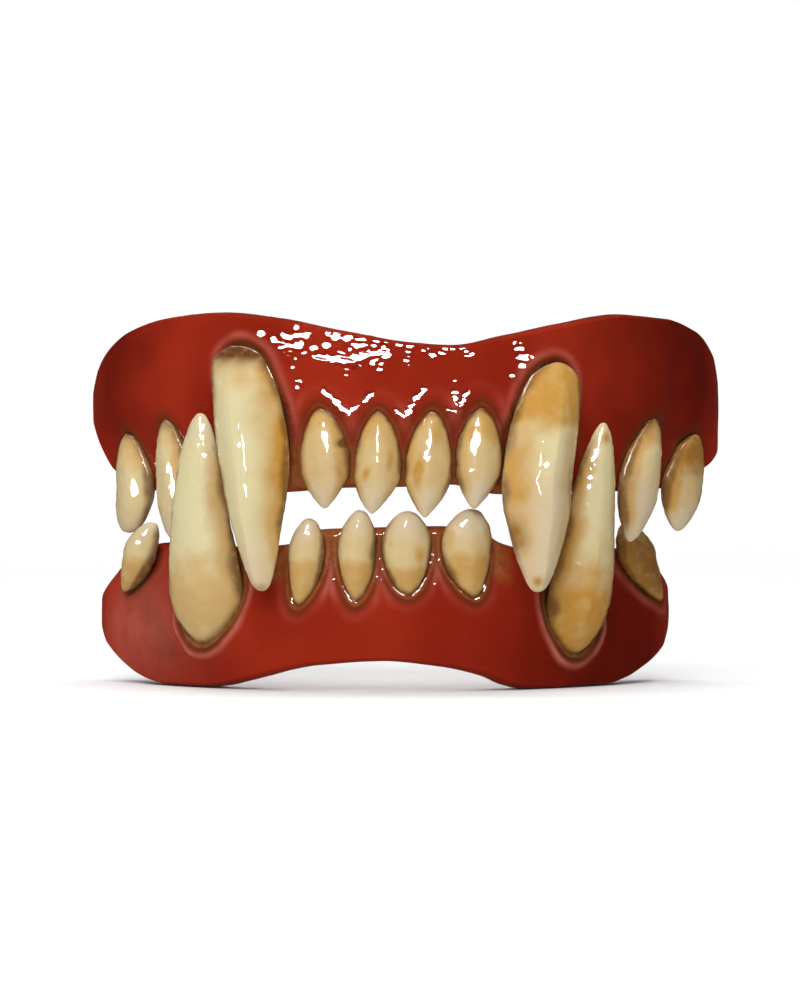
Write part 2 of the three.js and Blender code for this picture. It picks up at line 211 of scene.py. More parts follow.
LOWER_FANG = tooth_form(
    (0.36, 0.27, 0.40),
    (0.66, 0.52, 0.75),
    (0.91, 0.80, 1.00),
    (1.00, 1.00, 1.00),
    (0.94, 1.00, 0.95),
    (0.83, 0.90, 0.85),
    (0.73, 0.77, 0.72),
    (0.62, 0.62, 0.60),
    (0.48, 0.48, 0.46),
    (0.32, 0.34, 0.32),
    (0.16, 0.18, 0.17),
)
# The upper side teeth share their form towards the neck
PREMOLAR_NECK = [
    (0.24, 0.20, 0.45),
    (0.48, 0.48, 0.80),
    (0.70, 0.76, 1.00),
    (0.89, 0.97, 1.00),
    (1.00, 1.00, 0.95),
]
PREMOLAR = tooth_form(
    *PREMOLAR_NECK,
    (0.97, 0.93, 0.85),
    (0.78, 0.77, 0.66),
    (0.50, 0.52, 0.44),
    (0.25, 0.26, 0.22),
)
END_PREMOLAR = tooth_form(
    *PREMOLAR_NECK,
    (1.00, 0.95, 0.87),
    (0.90, 0.82, 0.70),
    (0.70, 0.62, 0.52),
    (0.42, 0.36, 0.30),
)

# What teeth of a kind share: mesh points, how far the tooth turns with the arch, how sharp its front ridge
# is, and the gum's margin round it. The margin has a seam so deep and wide, a bead of cement so high and
# far out, so much of its colour, a lip so high, far out, broad and pink, and brown stain that reaches so
# far, which is partly painted shade where the gum overhangs the tooth.
Kind = namedtuple(
    "Kind", "sides rings square ridge seam seam_width bead bead_out cement lip lip_out lip_width pink stain"
)
UPPER_SMALL = Kind(76, 88, 1, 1.15, 0.20, 0.12, 0.10, 0.24, 0.15, 0.26, 1.45, 0.48, 0.25, 0.35)
UPPER_LARGE = Kind(108, 136, 0.6, 1.50, 0.35, 0.42, 0, 0.10, 0.35, 0.08, 1.05, 0.40, 0.45, 0.55)
UPPER_SIDE = Kind(76, 88, 1, 1.15, 0.25, 0.22, 0, 0, 0, 0, 1.00, 0.50, 0, 0.90)
LOWER_SMALL = Kind(76, 88, 1, 1.20, 0.22, 0.14, 0.025, 0.30, 0.55, 0.10, 1.00, 0.45, 0.80, 0.30)
LOWER_LARGE = Kind(108, 136, 0.6, 1.30, 0.40, 0.50, 0, 0.35, 0.90, 0.18, 1.15, 0.28, 0.80, 0.40)
LOWER_SIDE = Kind(76, 88, 1, 1.15, 0.25, 0.30, 0, 0, 0, 0.10, 1.00, 0.45, 0.40, 0.80)
BEAD_WIDTH = 0.11

# A tooth's middle line bends to each end from here
STRAIGHT_AT = 0.55
BEND = 1.3

# Teeth from left to right, as in the part. "crest" is where the front's ridge runs, from -1 at the left
# edge to 1 at the right.
Tooth = namedtuple(
    "Tooth", "name form kind x neck tip width face back seat flare neck_shift tip_shift crest"
)
UPPER_TEETH = [
    Tooth("upper_premolar_left_2", END_PREMOLAR, UPPER_SIDE,
          -26.2, 24.6, 14.8, 5.2, 1.4, 1.7, 0, 0, -1.3, -1.0, 0.1),
    Tooth("upper_premolar_left_1", PREMOLAR, UPPER_SIDE,
          -21.9, 25.9, 14.3, 4.8, 1.4, 1.7, 0, 0, -1.4, -0.4, 0.1),
    Tooth("upper_fang_left", LEFT_FANG, UPPER_LARGE,
          -13.2, 32.7, 9.5, 7.3, 2.5, 1.9, 0.3, 2.6, -2.4, 1.1, -0.25),
    Tooth("upper_incisor_1", INCISOR, UPPER_SMALL,
          -7.2, 27.2, 17.25, 4.75, 1.6, 1.7, -0.2, 0.2, -0.3, 0, 0),
    Tooth("upper_incisor_2", INCISOR, UPPER_SMALL,
          -2.15, 26.7, 16.75, 4.3, 1.6, 1.7, -0.2, 0.2, 0.05, -0.6, 0),
    Tooth("upper_incisor_3", INCISOR, UPPER_SMALL,
          2.6, 26.8, 16.4, 4.3, 1.6, 1.7, -0.2, 0.2, 0.35, -0.4, 0),
    Tooth("upper_incisor_4", INCISOR, UPPER_SMALL,
          7.4, 27.5, 17.25, 4.45, 1.6, 1.7, -0.2, 0.2, 0, -0.6, 0),
    Tooth("upper_fang_right", RIGHT_FANG, UPPER_LARGE,
          12.3, 31.1, 9.4, 7.0, 2.5, 1.9, 0.35, 2.4, 2.6, -0.3, 0.2),
    Tooth("upper_premolar_right_1", PREMOLAR, UPPER_SIDE,
          23.2, 26.1, 14.0, 5.4, 1.4, 1.7, 0, 0, 2.3, -1.3, 0),
    Tooth("upper_premolar_right_2", PREMOLAR, UPPER_SIDE,
          27.9, 24.6, 15.0, 6.2, 1.4, 1.7, 0, 0, 2.4, -0.8, 0),
]
LOWER_TEETH = [
    Tooth("lower_premolar_left", LOWER_INCISOR, LOWER_SIDE,
          -25.1, 9.0, 15.9, 4.4, 1.3, 1.6, 0.4, 0.6, -2.8, 2.4, 0),
    Tooth("lower_fang_left", LOWER_FANG, LOWER_LARGE,
          -18.5, 4.0, 26.3, 7.8, 2.4, 1.9, -0.1, 3.3, 0.2, 0.8, 0),
    Tooth("lower_incisor_1", LOWER_INCISOR, LOWER_SMALL,
          -9.0, 7.7, 16.3, 3.55, 1.6, 1.6, -0.2, 0, -0.6, 0.3, 0),
    Tooth("lower_incisor_2", LOWER_INCISOR, LOWER_SMALL,
          -4.2, 8.1, 17.1, 3.6, 1.6, 1.6, -0.2, 0, 0, 0.3, 0),
    Tooth("lower_incisor_3", LOWER_INCISOR, LOWER_SMALL,
          0.5, 8.8, 17.0, 4.6, 1.6, 1.6, -0.2, 0, 0.15, 0.1, 0),
    Tooth("lower_incisor_4", LOWER_INCISOR, LOWER_SMALL,
          6.2, 8.6, 17.2, 5.0, 1.6, 1.6, -0.2, 0, 0.6, 0.5, 0),
    Tooth("lower_fang_right", LOWER_FANG, LOWER_LARGE,
          17.0, 3.2, 25.4, 6.8, 2.4, 1.9, 0.3, 3.9, -0.9, 0.6, 0),
    Tooth("lower_premolar_right", LOWER_INCISOR, LOWER_SIDE,
          23.4, 8.0, 15.8, 5.6, 1.3, 1.6, 0, 0, 3.8, -1.9, 0),
]

# Painted stain of each tooth: ochre from the neck to "edge" (a share of the length) with a border as soft
# as "soft", ochre up the left and right sides, a pale point from "pale" on, and a thin wash all over
Paint = namedtuple("Paint", "edge soft neck left right pale wash")
PAINT = {
    "upper_premolar_left_2": Paint(0.40, 0.20, 0.60, 0.60, 0.30, 0.75, 0.25),
    "upper_premolar_left_1": Paint(0.25, 0.20, 0.50, 0.20, 0.70, 0.70, 0.25),
    "upper_fang_left": Paint(0.14, 0.10, 0.45, 0.10, 0.80, 0.78, 0.00),
    "upper_incisor_1": Paint(0.36, 0.24, 0.85, 0.80, 0.80, 0.62, 0.50),
    "upper_incisor_2": Paint(0.34, 0.24, 0.85, 0.70, 0.75, 0.60, 0.50),
    "upper_incisor_3": Paint(0.38, 0.24, 0.85, 0.80, 0.70, 0.62, 0.55),
    "upper_incisor_4": Paint(0.46, 0.24, 0.85, 0.70, 0.75, 0.58, 0.50),
    "upper_fang_right": Paint(0.29, 0.060, 0.95, 0.35, 0.45, 0.45, 0.00),
    "upper_premolar_right_1": Paint(0.26, 0.10, 0.85, 0.75, 0.20, 0.40, 0.25),
    "upper_premolar_right_2": Paint(0.46, 0.24, 1.00, 0.90, 0.60, 0.60, 0.45),
    "lower_premolar_left": Paint(0.50, 0.16, 0.75, 0.65, 0.30, 0.60, 0.25),
    "lower_fang_left": Paint(0.36, 0.12, 0.62, 0.00, 0.70, 0.92, 0.00),
    "lower_incisor_1": Paint(0.56, 0.08, 0.75, 0.45, 0.50, 0.60, 0.35),
    "lower_incisor_2": Paint(0.50, 0.10, 0.80, 0.45, 0.50, 0.62, 0.35),
    "lower_incisor_3": Paint(0.40, 0.12, 0.80, 0.50, 0.45, 0.60, 0.35),
    "lower_incisor_4": Paint(0.54, 0.12, 0.85, 0.60, 0.65, 0.58, 0.40),
    "lower_fang_right": Paint(0.40, 0.20, 1.00, 0.90, 0.50, 0.95, 0.10),
    # The right lower premolar's ochre all over is partly painted shade, for the shadow it lies in
    "lower_premolar_right": Paint(0.95, 0.30, 1.00, 0.80, 0.80, 0.98, 0.60),
}

# Single patches: place from edge to edge (-1 to 1) and from neck to point, reach, and share of each paint
Patch = namedtuple("Patch", "tooth side along wide long ochre brown")
PATCHES = [
    Patch("upper_incisor_1", 0.98, 0.38, 0.20, 0.045, 0.0, 2.5),
    Patch("upper_incisor_1", 0.75, 0.66, 0.22, 0.14, 0.9, 0.25),
    Patch("upper_incisor_2", -0.50, 0.63, 0.26, 0.09, 1.0, 0.0),
    Patch("upper_incisor_2", 0.52, 0.47, 0.30, 0.20, 0.9, 0.10),
    Patch("upper_incisor_3", -0.45, 0.58, 0.32, 0.18, 1.3, 0.05),
    Patch("upper_incisor_3", 0.60, 0.40, 0.30, 0.15, 0.6, 0.0),
    # A brown band at the left upper fang's neck, partly painted shade under the gum's edge
    Patch("upper_fang_left", 0.00, 0.025, 1.80, 0.050, 0.9, 1.2),
    Patch("upper_fang_left", 0.10, 0.13, 0.60, 0.06, 0.5, 0.0),
    Patch("upper_fang_left", 0.90, 0.45, 0.50, 0.40, 1.1, 0.1),
    Patch("upper_fang_left", 0.10, 0.99, 0.90, 0.02, 0.5, 0.35),
    Patch("upper_fang_right", -0.75, 0.52, 0.45, 0.36, 0.9, 0.0),
    Patch("upper_fang_right", -0.85, 0.75, 0.28, 0.07, 1.0, 0.55),
    Patch("upper_fang_right", -0.20, 0.955, 0.45, 0.022, 1.0, 0.30),
    Patch("lower_fang_right", 0.00, 0.935, 0.45, 0.025, 1.0, 0.15),
    Patch("lower_incisor_3", 0.55, 0.48, 0.28, 0.16, 0.9, 0.0),
    Patch("lower_incisor_3", -0.65, 0.62, 0.20, 0.06, 0.7, 0.0),
    # The right lower premolar's brown patch is partly painted shade
    Patch("lower_premolar_right", 0.0, 0.45, 1.6, 0.60, 1.0, 0.75),
    # A brown patch at the top of the right end premolar, partly painted shade under the gum
    Patch("upper_premolar_right_2", -0.35, 0.18, 1.2, 0.28, 1.0, 0.70),
]

# Relief of the worked surfaces: broad swells and small lumps
Relief = namedtuple("Relief", "size height")
GUM_RELIEF = [Relief(6.0, 0.12), Relief(2.4, 0.03), Relief(0.8, 0.012)]
TOOTH_RELIEF = [Relief(3.0, 0.05), Relief(0.6, 0.05)]
# Each layer of relief starts this far on in the noise, and each use of it from a seed of its own
NOISE_STEP = Vector((0, 17, 5))
GUM_SEED, UNEVEN_SEED, RAGGED_SEED, CLOUDY_SEED = 40, 7, 60, 80

# Drops of varnish that catch the light: from one place in the front view to another, how far they stray
# from that line, how many there are, and their radius
Drops = namedtuple("Drops", "body x z to_x to_z stray count radius")
DROPS = [
    Drops("upper", -13.2, 33.9, -13.2, 33.7, 0.02, 2, 0.46),
    Drops("upper", -10.7, 33.4, -10.2, 32.4, 0.55, 20, 0.46),
    Drops("upper", -11.1, 31.6, -10.0, 30.6, 0.30, 6, 0.36),
    Drops("upper", -9.9, 29.7, -9.7, 28.2, 0.10, 4, 0.38),
    Drops("upper", -6.6, 33.3, -1.4, 32.4, 0.25, 20, 0.42),
    Drops("upper", -8.0, 31.9, -1.6, 31.3, 0.40, 34, 0.46),
    Drops("upper", -5.0, 32.6, -2.0, 31.9, 0.30, 14, 0.42),
    Drops("upper", -5.1, 30.2, -5.1, 29.5, 0.04, 3, 0.40),
    Drops("upper", -0.6, 32.1, 7.0, 31.7, 0.28, 18, 0.30),
    Drops("upper", 6.2, 32.0, 6.6, 31.7, 0.20, 4, 0.38),
    Drops("upper", 0.4, 31.2, 0.6, 30.5, 0.05, 2, 0.28),
    Drops("upper", 11.0, 33.0, 11.8, 30.8, 0.16, 11, 0.46),
    Drops("upper", 10.5, 29.6, 10.5, 29.3, 0.10, 2, 0.30),
    Drops("upper", -7.6, 28.8, -7.1, 28.0, 0.12, 5, 0.34),
    Drops("upper", 5.05, 29.2, 5.05, 27.6, 0.02, 4, 0.34),
    Drops("upper", -11.6, 29.2, -9.8, 24.4, 0.05, 14, 0.18),
    Drops("upper", 12.3, 29.4, 10.1, 24.0, 0.05, 14, 0.18),
    Drops("upper", -19.3, 27.2, -18.6, 25.2, 0.20, 10, 0.28),
    Drops("lower", -6.6, 9.0, -6.6, 12.0, 0.25, 9, 0.24),
    Drops("lower", -1.9, 10.3, -1.9, 12.7, 0.25, 9, 0.24),
    Drops("lower", 3.3, 10.1, 3.3, 13.1, 0.30, 12, 0.26),
    Drops("lower", -5.2, 7.4, -3.2, 7.4, 0.20, 8, 0.24),
    Drops("lower", -0.5, 8.0, 1.5, 8.0, 0.20, 8, 0.24),
    Drops("lower", -9.4, 7.2, -7.8, 6.8, 0.30, 6, 0.22),
    Drops("lower", 10.9, 9.8, 11.1, 8.9, 0.10, 5, 0.34),
    Drops("lower", -13.2, 4.6, -13.0, 4.2, 0.15, 3, 0.24),
]
# How far up the drops' sagging faces turn, how steep they grow towards their edges, and how far they rise
# from the gum, as shares of their radius
DROP_TILT = math.radians(21)
DROP_STEEP = 0.05
DROP_RISE = 0.05
# How much the drops' sizes vary, with the least and the most, and how sharp the edges of wet places are
DROP_VARIES, DROP_LEAST, DROP_MOST = 0.25, 0.7, 1.4
WET_EDGE = 6

# Wet lines of varnish, from one place in the front view to another, and half their width
Streak = namedtuple("Streak", "body x z to_x to_z width")
STREAKS = [
    Streak("upper", -7.3, 28.4, -4.9, 26.1, 0.32),
    Streak("upper", -4.8, 26.1, -2.7, 28.0, 0.34),
    Streak("upper", -0.5, 26.4, 0.3, 25.8, 0.28),
    Streak("upper", 0.4, 25.8, 2.1, 28.5, 0.36),
    Streak("upper", 4.4, 26.5, 5.2, 26.3, 0.32),
    Streak("upper", 5.3, 26.4, 6.3, 28.3, 0.30),
    Streak("upper", -7.8, 31.6, -4.4, 30.9, 0.38),
    Streak("upper", -4.2, 30.9, -1.5, 32.4, 0.38),
    Streak("upper", -11.3, 32.6, -9.5, 32.5, 0.42),
    Streak("upper", -10.6, 33.5, -8.9, 33.4, 0.42),
    Streak("upper", 11.0, 32.3, 11.7, 32.2, 0.40),
    Streak("upper", 11.2, 31.5, 11.9, 31.4, 0.42),
    Streak("upper", 11.3, 30.7, 11.9, 30.6, 0.36),
]
# How far up a wet line's face turns, how steep it is along the line, over what length and how much its width
# varies, how much wider it can be, and the degree of the curve that it follows along the gum
STREAK_TILT = math.radians(24)
STREAK_SLIDE = 0.15
STREAK_RAGGED = Relief(0.55, 1.1)
STREAK_WIDEST = 2
STREAK_CURVE = 2

# Furrows pressed into the gums, from one place in the front view to another
Fold = namedtuple("Fold", "body x z to_x to_z depth width")
FOLDS = [
    Fold("upper", 27.2, 31.0, 27.6, 24.0, 0.40, 1.1),
    Fold("lower", -25.2, 8.0, -22.6, 3.0, 0.28, 0.9),
    Fold("lower", 21.4, 8.0, 21.0, 2.5, 0.30, 0.9),
]

# Painted shade, darker towards the ends of each gum where less light falls: from where to where along x, and
# how strong
Shade = namedtuple("Shade", "body start full strength")
SHADES = [
    Shade("upper", 14.0, 31.0, 0.86),
    Shade("upper", -21.0, -31.5, 0.80),
    Shade("lower", 5.0, 22.0, 0.76),
]
# How far the painted shade's border strays, and how dark the painted shade in the furrows is
SHADE_WANDER = 2
FOLD_SHADE = 0.5

# Pink patches on the gums
Blush = namedtuple("Blush", "body x z spread strength")
BLUSHES = [Blush("lower", -26.0, 6.5, 6.0, 0.5)]

GUM_RED = (0.285, 0.020, 0.007, 1)
GUM_DEEP = (0.225, 0.0135, 0.0045, 1)
# GUM_SHADE is the dark red of the painted shade towards the gums' ends and in their furrows
GUM_SHADE = (0.065, 0.003, 0.001, 1)
GUM_PINK = (0.45, 0.13, 0.09, 1)
GUM_CEMENT = (0.32, 0.125, 0.032, 1)
# GUM_BROWN is the brown of stain in the margins, which also paints shade round and between the teeth
GUM_BROWN = (0.075, 0.025, 0.008, 1)
TOOTH_IVORY = (0.61, 0.535, 0.305, 1)
TOOTH_OCHRE = (0.47, 0.235, 0.038, 1)
TOOTH_PALE = (0.57, 0.46, 0.30, 1)
# TOOTH_BROWN also paints shade at the teeth's side edges and where the gum meets them
TOOTH_BROWN = (0.11, 0.040, 0.012, 1)

# The photo's camera: its place, level with the middle of the bite, and its focal length in the photo's pixels
EYE = np.array([-0.09, -300.0, 18.2])
FOCAL_PIXELS = 3207
IMAGE_HEIGHT = 997
SENSOR = 36


def smoothstep(low, high, value):
    """0 below low, 1 above high, and smooth between them."""
    share = np.clip((value - low) / (high - low), 0, 1)
    return share * share * (3 - 2 * share)


def bell(value, width):
    return np.exp(-((value / width) ** 2))


def rows_of(table, body):
    return [row for row in table if row.body == body]


def curve_through(places, values):
    """A smooth curve through a table's column, which never passes beyond the rows on either side."""
    steps = np.diff(values) / np.diff(places)
    before = np.concatenate([steps[:1], steps])
    after = np.concatenate([steps, steps[-1:]])
    turns = before * after <= 0
    slopes = np.where(turns, 0, 2 * before * after / np.where(turns, 1, before + after))

    def at(place):
        place = np.clip(place, places[0], places[-1])
        k = np.clip(np.searchsorted(places, place, side="right") - 1, 0, len(places) - 2)
        span = places[k + 1] - places[k]
        t = (place - places[k]) / span
        start = values[k] * (1 + 2 * t) + slopes[k] * span * t
        end = values[k + 1] * (3 - 2 * t) - slopes[k + 1] * span * (1 - t)
        return start * (1 - t) ** 2 + end * t**2

    return at


def arch_at(arch, x, square):
    """Foot on the plan curve, with the way along the arch and the way out of it."""
    across = (x - arch.middle) / arch.half_width
    turn = square * np.arctan(2 * arch.depth * across / arch.half_width)
    level = np.zeros_like(turn)
    foot = np.stack([x + level, arch.front + arch.depth * across**2, level], -1)
    along = np.stack([np.cos(turn), np.sin(turn), level], -1)
    out = np.stack([np.sin(turn), -np.cos(turn), level], -1)
    return foot, along, out


def middle_shift(tooth, along):
    """Sideways place of a tooth's middle line at a share of its length."""
    to_neck = np.maximum(0, 1 - along / STRAIGHT_AT)
    to_tip = np.maximum(0, (along - STRAIGHT_AT) / (1 - STRAIGHT_AT))
    return tooth.neck_shift * to_neck**BEND + tooth.tip_shift * to_tip**BEND


def relief_at(points, relief, seed):
    """Height of the worked surface at each point."""
    heights = np.zeros(len(points))
    for k, row in enumerate(relief):
        offset = Vector((seed, 0, 0)) + k * NOISE_STEP
        heights += row.height * np.array([noise.noise(Vector(p) / row.size + offset) for p in points])
    return heights


def normals_of(points, faces):
    """Outward direction at each point of a closed surface."""
    normals = np.zeros_like(points)
    for face in (f for f in faces if len(f)):
        first, second, third, last = (points[face[:, k]] for k in (0, 1, 2, -1))
        normal = np.cross(third - first, last - second)
        if face.shape[1] == 3:
            normal = np.cross(second - first, third - first)
        for k in range(face.shape[1]):
            np.add.at(normals, face[:, k], normal)
    return normals / np.maximum(np.linalg.norm(normals, axis=1, keepdims=True), 1e-12)


def grid_faces(rows, around):
    """Quads of a tube of rows, and the triangles that close it to a pole before and after."""
    row = np.arange(rows - 1)[:, None] * around
    here = np.arange(around)[None, :]
    after = (here + 1) % around
    quads = np.stack([row + here, row + after, row + around + after, row + around + here], -1)
    here, after = here[0], after[0]
    top = (rows - 1) * around
    first_pole = np.full(around, rows * around)
    start = np.stack([first_pole, after, here], -1)
    end = np.stack([first_pole + 1, top + here, top + after], -1)
    return quads.reshape(-1, 4), np.concatenate([start, end])


def tree_of(surface):
    """A surface's search tree, and the corners of its box."""
    faces = [f for part in surface.faces for f in part.tolist()]
    tree = BVHTree.FromPolygons(surface.points.tolist(), faces)
    return tree, (surface.points.min(0), surface.points.max(0))


def distances(tree, box, points, reach):
    """Distance of each point from a closed surface, negative inside it, and "reach" where it is further."""
    found = np.full(len(points), float(reach))
    near_box = np.all((points > box[0] - reach) & (points < box[1] + reach), axis=1)
    for i in np.flatnonzero(near_box):
        near, normal, _, distance = tree.find_nearest(points[i], reach)
        if near is not None:
            inside = normal.dot(Vector(points[i]) - near) < 0
            found[i] = -distance if inside else distance
    return found


Surface = namedtuple("Surface", "points faces values")


def tooth_surface(arch, tooth, seed):
    """A tooth drawn out from a ball along its table of sections, with its worked relief."""
    turns = np.linspace(0, np.pi, len(tooth.form["width"]))
    width, face, back = (curve_through(turns, tooth.form[c]) for c in ("width", "face", "back"))
    turn = np.linspace(0, np.pi, tooth.kind.rings + 2)[1:-1, None]
    round_at = np.linspace(0, 2 * np.pi, tooth.kind.sides, endpoint=False)[None, :]
    along = (0.5 - 0.5 * np.cos(turn)) + 0 * round_at
    sharp = np.where(np.sin(round_at) > 0, tooth.kind.ridge, 1)
    sideways = np.sign(np.cos(round_at)) * np.abs(np.cos(round_at)) ** sharp + 0 * turn
    outwards = np.sign(np.sin(round_at)) * np.abs(np.sin(round_at)) ** sharp + 0 * turn
    side = tooth.crest + (np.sign(sideways) - tooth.crest) * np.abs(sideways)
    reach = np.where(outwards > 0, tooth.face * face(turn), tooth.back * back(turn))
    foot, way, out = arch_at(arch, tooth.x, tooth.kind.square)
    q = middle_shift(tooth, along) + 0.5 * tooth.width * width(turn) * side
    n = tooth.seat + tooth.flare * along + reach * outwards
    points = foot + q[..., None] * way + n[..., None] * out
    points[..., 2] = tooth.neck + (tooth.tip - tooth.neck) * along
    poles = []
    for end, height in ((0, tooth.neck), (1, tooth.tip)):
        pole = foot + middle_shift(tooth, end) * way + (tooth.seat + tooth.flare * end) * out
        pole[2] = height
        poles.append(pole)
    points = np.concatenate([points.reshape(-1, 3), poles])
    faces = grid_faces(tooth.kind.rings, tooth.kind.sides)
    if tooth.tip > tooth.neck:
        faces = tuple(f[:, ::-1] for f in faces)
    points = points + normals_of(points, faces) * relief_at(points, TOOTH_RELIEF, seed)[:, None]
    flat = {"along": np.append(along.ravel(), [0, 1]), "side": np.append(side.ravel(), [0, 0])}
    return Surface(points, faces, flat)


def stations_along(arch, first, last):
    """Places along x at even steps along the arch, closer at its ends."""
    fine = np.linspace(first, last, FINE_STEPS)
    fine_end = np.minimum(fine - first, last - fine)
    slope = 2 * arch.depth * (fine - arch.middle) / arch.half_width**2
    density = np.hypot(1, slope) * (1 + END_DENSITY * np.exp(-fine_end / END_CAP))
    length = np.concatenate([[0], np.cumsum(density[1:])])
    return np.interp(np.linspace(0, length[-1], STATIONS + 2)[1:-1], length, fine)


def gum_surface(arch, edges, teeth, rim_up):
    """The gum wall before its margins, with each point's height in the wall and its share of the face."""
    rim = curve_through(edges["x"], edges["rim"])
    web = curve_through(edges["x"], edges["web"])
    wall_face = curve_through(WALL["height"], WALL["face"])
    wall_back = curve_through(WALL["height"], WALL["back"])
    first, last = edges["x"][0], edges["x"][-1]

    x = stations_along(arch, first, last)[:, None]
    to_end = np.minimum(x - first, last - x)

    # Heights round the section: up the face, over the rim, down the back, and under the web
    tall = np.abs(rim(x) - web(x))
    low = np.minimum(WEB_ROUND / tall, ROUND_MOST)
    high = 1 - np.minimum(RIM_ROUND / tall, ROUND_MOST)
    up = np.linspace(0, 1, FACE_POINTS)[None, :]
    down = np.linspace(1, 0, BACK_POINTS)[None, :]
    half_turn = np.linspace(0, np.pi, ROUND_POINTS + 2)[None, 1:-1]
    face_height = low + (high - low) * up
    back_height = low + (high - low) * down

    level = smoothstep(0, END_LEVEL, to_end)
    face_offset = wall_face(face_height) * level
    swell = np.sin(np.pi * face_height**BULGE_HIGH) ** 2
    for tooth in teeth:
        over_root = bell(x - tooth.x, BULGE_SPREAD * tooth.width)
        face_offset = face_offset + ROOT_BULGE * tooth.width * over_root * swell
    across = np.abs(x - arch.middle) / arch.half_width
    back_offset = wall_back(back_height) - END_GROWTH * across**3

    def rounded(start, end, height, reach):
        middle, half = (start + end) / 2, (start - end) / 2
        return middle + half * np.cos(half_turn), height + reach * np.sin(half_turn)

    rim_offset, rim_height = rounded(face_offset[:, -1:], back_offset[:, :1], high, 1 - high)
    web_offset, web_height = rounded(back_offset[:, -1:], face_offset[:, :1], low, -low)
    height = np.concatenate([face_height, rim_height, back_height, web_height], 1)
    offset = np.concatenate([face_offset, rim_offset, back_offset, web_offset], 1)

    thin = END_THICKNESS + (1 - END_THICKNESS) * np.sqrt(np.clip(to_end / END_ROUNDING, 0, 1))
    offset = WALL_MIDDLE + (offset - WALL_MIDDLE) * thin
    foot, _, out = arch_at(arch, x, 1)
    points = foot + offset[..., None] * out
    points[..., 2] = web(x) + (rim(x) - web(x)) * height
    middles = points.mean(1, keepdims=True)
    shrink = np.sqrt(1 - (1 - np.clip(to_end / END_CAP, 0, 1)) ** 2)
    points = middles + (points - middles) * shrink[..., None]

    around = height.shape[1]
    on_face = np.zeros_like(height)
    on_face[:, :FACE_POINTS] = np.sin(np.pi / 2 * up) ** FACE_FADE
    on_face[:, FACE_POINTS:FACE_POINTS + ROUND_POINTS] = np.linspace(1, 0, ROUND_POINTS + 2)[1:-1]
    faces = grid_faces(STATIONS, around)
    if rim_up:
        faces = tuple(f[:, ::-1] for f in faces)
    points = np.concatenate([points.reshape(-1, 3), middles[0], middles[-1]])
    crease, web_side = np.zeros_like(height), np.ones_like(height)
    crease[:, FACE_POINTS - 1] = 1
    web_side[:, FACE_POINTS:-ROUND_POINTS] = 0
    flat = {
        "height": np.append(height.ravel(), [0.5, 0.5]),
        "face": np.append((on_face * np.minimum(1, to_end / END_LEVEL)).ravel(), [0, 0]),
        "crease": np.append(crease.ravel(), [0, 0]),
        "web_side": np.append(web_side.ravel(), [0, 0]),
    }
    return Surface(points, faces, flat)


# How far from a tooth the gum's margin is worked out, the clear room that is left for the other row's teeth,
# and how far away that room is looked for
MARGIN_REACH = 3.0
CLEARANCE = 0.18
ROOM_REACH = 2.0
SOCKET_DEPTH = 0.7
# How far a lip strays and how much its height varies, with an unevenness of the gum's own
UNEVEN = [Relief(2.6, 1.0)]
LIP_WANDER = 0.15
LIP_VARIES = 0.5
# Away from the papillae between two small teeth, a lip sinks to this share of its height
LIP_LEAST = 0.05
PAPILLA_REACH = 1.25
# The cement's border, and the brown in the seam, along that border and washed out beyond it, the wash
# partly painted shade in the hollow by the tooth
CEMENT_EDGE = 0.10
LINE_SHARE = 0.5
LINE_WIDTH = 0.09
WASH_AND_SHADE_WIDTH = 0.34
WASH_AND_SHADE_STRENGTH = 0.8
# Brown stain round each tooth, widest round the side teeth, partly painted shade where the gum overhangs them
MARGIN_STAIN_AND_SHADE = 0.85
# Brown stain with painted shade in the narrow places between two teeth
NARROW_STAIN_AND_SHADE = 0.85
NARROW_WIDTH = 0.9
# Cement on the web between the small teeth: how far past them it goes and fades, and the heights in the wall
# between which it ends
WEB_CEMENT = 0.6
WEB_PAST = 1.2
WEB_FADE = 2
WEB_ENDS = (0.22, 0.34)


Line = namedtuple("Line", "way length from_start along distance")


def line_of(row, points):
    """A row's line in the front view, and how far each point is from its start, along it and from it."""
    start = np.array([row.x, row.z])
    way = np.array([row.to_x, row.to_z]) - start
    length = np.linalg.norm(way)
    way = way / length
    from_start = points[:, [0, 2]] - start
    along = np.clip(from_start @ way, 0, length)
    distance = np.linalg.norm(from_start - along[:, None] * way, axis=1)
    return Line(way, length, from_start, along, distance)


def furrow(fold, points):
    """How much of a furrow is at each point."""
    return bell(line_of(fold, points).distance, fold.width)


def with_droplets(lift, body, arch, places, normals, seed):
    """The lift with varnish drops: each sags downwards and takes the place of the lumps beneath it."""
    chance = np.random.default_rng(seed)
    covered = lift.copy()
    for row in rows_of(DROPS, body):
        shares = (np.arange(row.count) + chance.random(row.count)) / row.count
        for share, (side, up, size) in zip(shares, chance.normal(0, 1, (row.count, 3))):
            x = row.x + (row.to_x - row.x) * share + row.stray * side
            z = row.z + (row.to_z - row.z) * share + row.stray * up
            radius = row.radius * np.clip(1 + DROP_VARIES * size, DROP_LEAST, DROP_MOST)
            _, along, _ = arch_at(arch, np.array(x), 1)
            sideways = (places[:, 0] - x) / along[0] / radius
            upwards = (places[:, 2] - z) / radius
            away = np.minimum(np.hypot(sideways, upwards), 1)
            middle = np.argmin(away)
            normal = normals[middle]
            lean = math.tan(DROP_TILT) - normal[2] / math.hypot(normal[0], normal[1])
            drop = DROP_RISE - max(lean, 0) * upwards + DROP_STEEP * (1 - away**2)
            covered = covered + (lift[middle] + radius * drop - covered) * (1 - away**WET_EDGE)
    return covered


